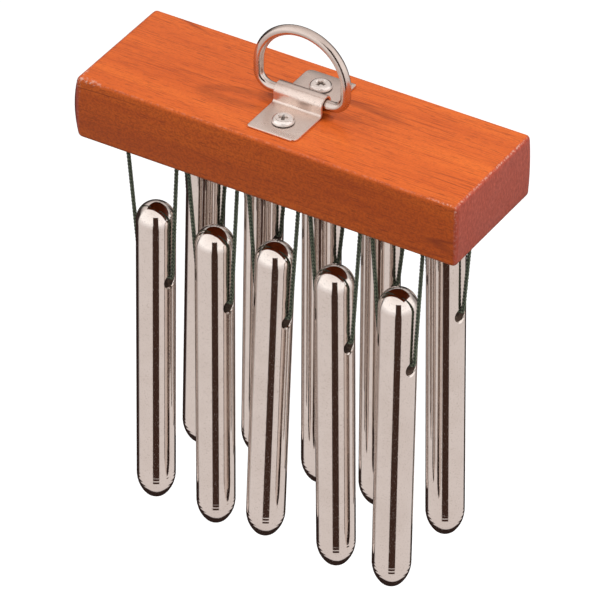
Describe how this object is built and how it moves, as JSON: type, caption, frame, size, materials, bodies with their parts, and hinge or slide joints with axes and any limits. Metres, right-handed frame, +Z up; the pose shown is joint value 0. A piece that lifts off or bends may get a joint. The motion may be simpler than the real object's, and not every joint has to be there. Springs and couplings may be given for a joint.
{
  "type": "bar chimes",
  "caption": "Hand-held bar chimes: two rows of domed metal bars hung on cord loops under a stained wooden block, with a wire ring on top to hang or hold it by.",
  "frame": {"origin": "the inside top of the hanging ring's arc, where a hook or finger holds it", "axes": "+Z up along the hanging chimes, +X along the block to the right as in the picture, +Y to the rear row"},
  "size_m": [0.1201, 0.0402, 0.1641],
  "materials": {
    "wire": "satin",
    "sheet": "satin",
    "screws": "gloss",
    "stained_wood": "satin",
    "bars": "polished",
    "cord": "matte"
  },
  "bodies": {
    "ring": {"hanging_ring": "wire"},
    "block": {"wood_block": "stained_wood", "ring_strap": "sheet", "front_strap_screw": "screws", "rear_strap_screw": "screws", "front_cord_ends": "cord", "rear_cord_ends": "cord"},
    "front_cord_1": {"front_cord_1": "cord"},
    "front_bar_1": {"front_bar_1": "bars"},
    "front_cord_2": {"front_cord_2": "cord"},
    "front_bar_2": {"front_bar_2": "bars"},
    "front_cord_3": {"front_cord_3": "cord"},
    "front_bar_3": {"front_bar_3": "bars"},
    "front_cord_4": {"front_cord_4": "cord"},
    "front_bar_4": {"front_bar_4": "bars"},
    "front_cord_5": {"front_cord_5": "cord"},
    "front_bar_5": {"front_bar_5": "bars"},
    "rear_cord_1": {"rear_cord_1": "cord"},
    "rear_bar_1": {"rear_bar_1": "bars"},
    "rear_cord_2": {"rear_cord_2": "cord"},
    "rear_bar_2": {"rear_bar_2": "bars"},
    "rear_cord_3": {"rear_cord_3": "cord"},
    "rear_bar_3": {"rear_bar_3": "bars"},
    "rear_cord_4": {"rear_cord_4": "cord"},
    "rear_bar_4": {"rear_bar_4": "bars"},
    "rear_cord_5": {"rear_cord_5": "cord"},
    "rear_bar_5": {"rear_bar_5": "bars"}
  },
  "joints": [
    {"name": "block_on_ring", "type": "hinge", "parent": "ring", "child": "block", "pos_m": [0, 0, -0.01915], "axis": [1, 0, 0], "range_deg": [-90, 90]},
    {"name": "front_swing_1", "type": "hinge", "parent": "block", "child": "front_cord_1", "pos_m": [-0.0391, -0.0138, -0.04205], "axis": [1, 0, 0], "range_deg": [-60, 8]},
    {"name": "front_rock_1", "type": "hinge", "parent": "front_cord_1", "child": "front_bar_1", "pos_m": [-0.0383, -0.0138, -0.08195], "axis": [0.9781, -0.2079, -0.0102], "range_deg": [-60, 13]},
    {"name": "front_swing_2", "type": "hinge", "parent": "block", "child": "front_cord_2", "pos_m": [-0.0198, -0.0138, -0.04205], "axis": [1, 0, 0], "range_deg": [-60, 8]},
    {"name": "front_rock_2", "type": "hinge", "parent": "front_cord_2", "child": "front_bar_2", "pos_m": [-0.0192, -0.0138, -0.08325], "axis": [0.9781, -0.2079, 0], "range_deg": [-60, 13]},
    {"name": "front_swing_3", "type": "hinge", "parent": "block", "child": "front_cord_3", "pos_m": [-0.0005, -0.0138, -0.04205], "axis": [1, 0, 0], "range_deg": [-60, 8]},
    {"name": "front_rock_3", "type": "hinge", "parent": "front_cord_3", "child": "front_bar_3", "pos_m": [-0.0005, -0.0138, -0.08125], "axis": [0.9776, -0.2079, -0.0324], "range_deg": [-60, 13]},
    {"name": "front_swing_4", "type": "hinge", "parent": "block", "child": "front_cord_4", "pos_m": [0.0188, -0.0138, -0.04205], "axis": [1, 0, 0], "range_deg": [-60, 8]},
    {"name": "front_rock_4", "type": "hinge", "parent": "front_cord_4", "child": "front_bar_4", "pos_m": [0.0191, -0.0138, -0.08235], "axis": [0.9781, -0.2079, 0.0137], "range_deg": [-60, 13]},
    {"name": "front_swing_5", "type": "hinge", "parent": "block", "child": "front_cord_5", "pos_m": [0.0381, -0.0138, -0.04205], "axis": [1, 0, 0], "range_deg": [-60, 8]},
    {"name": "front_rock_5", "type": "hinge", "parent": "front_cord_5", "child": "front_bar_5", "pos_m": [0.0386, -0.0138, -0.08235], "axis": [0.9781, -0.2079, -0.0085], "range_deg": [-60, 13]},
    {"name": "rear_swing_1", "type": "hinge", "parent": "block", "child": "rear_cord_1", "pos_m": [-0.0391, 0.0138, -0.04205], "axis": [1, 0, 0], "range_deg": [-8, 60]},
    {"name": "rear_rock_1", "type": "hinge", "parent": "rear_cord_1", "child": "rear_bar_1", "pos_m": [-0.0395, 0.0138, -0.08155], "axis": [0.9779, -0.2079, -0.0222], "range_deg": [-13, 60]},
    {"name": "rear_swing_2", "type": "hinge", "parent": "block", "child": "rear_cord_2", "pos_m": [-0.0198, 0.0138, -0.04205], "axis": [1, 0, 0], "range_deg": [-8, 60]},
    {"name": "rear_rock_2", "type": "hinge", "parent": "rear_cord_2", "child": "rear_bar_2", "pos_m": [-0.0204, 0.0138, -0.07775], "axis": [0.9781, -0.2079, -0.0137], "range_deg": [-13, 60]},
    {"name": "rear_swing_3", "type": "hinge", "parent": "block", "child": "rear_cord_3", "pos_m": [-0.0005, 0.0138, -0.04205], "axis": [1, 0, 0], "range_deg": [-8, 60]},
    {"name": "rear_rock_3", "type": "hinge", "parent": "rear_cord_3", "child": "rear_bar_3", "pos_m": [-0.0017, 0.0138, -0.08005], "axis": [0.9781, -0.2079, 0.0017], "range_deg": [-13, 60]},
    {"name": "rear_swing_4", "type": "hinge", "parent": "block", "child": "rear_cord_4", "pos_m": [0.0188, 0.0138, -0.04205], "axis": [1, 0, 0], "range_deg": [-8, 60]},
    {"name": "rear_rock_4", "type": "hinge", "parent": "rear_cord_4", "child": "rear_bar_4", "pos_m": [0.0172, 0.0138, -0.08045], "axis": [0.9781, -0.2079, 0.0017], "range_deg": [-13, 60]},
    {"name": "rear_swing_5", "type": "hinge", "parent": "block", "child": "rear_cord_5", "pos_m": [0.0381, 0.0138, -0.04205], "axis": [1, 0, 0], "range_deg": [-8, 60]},
    {"name": "rear_rock_5", "type": "hinge", "parent": "rear_cord_5", "child": "rear_bar_5", "pos_m": [0.0379, 0.0138, -0.08185], "axis": [0.978, -0.2079, 0.0171], "range_deg": [-13, 60]}
  ]
}
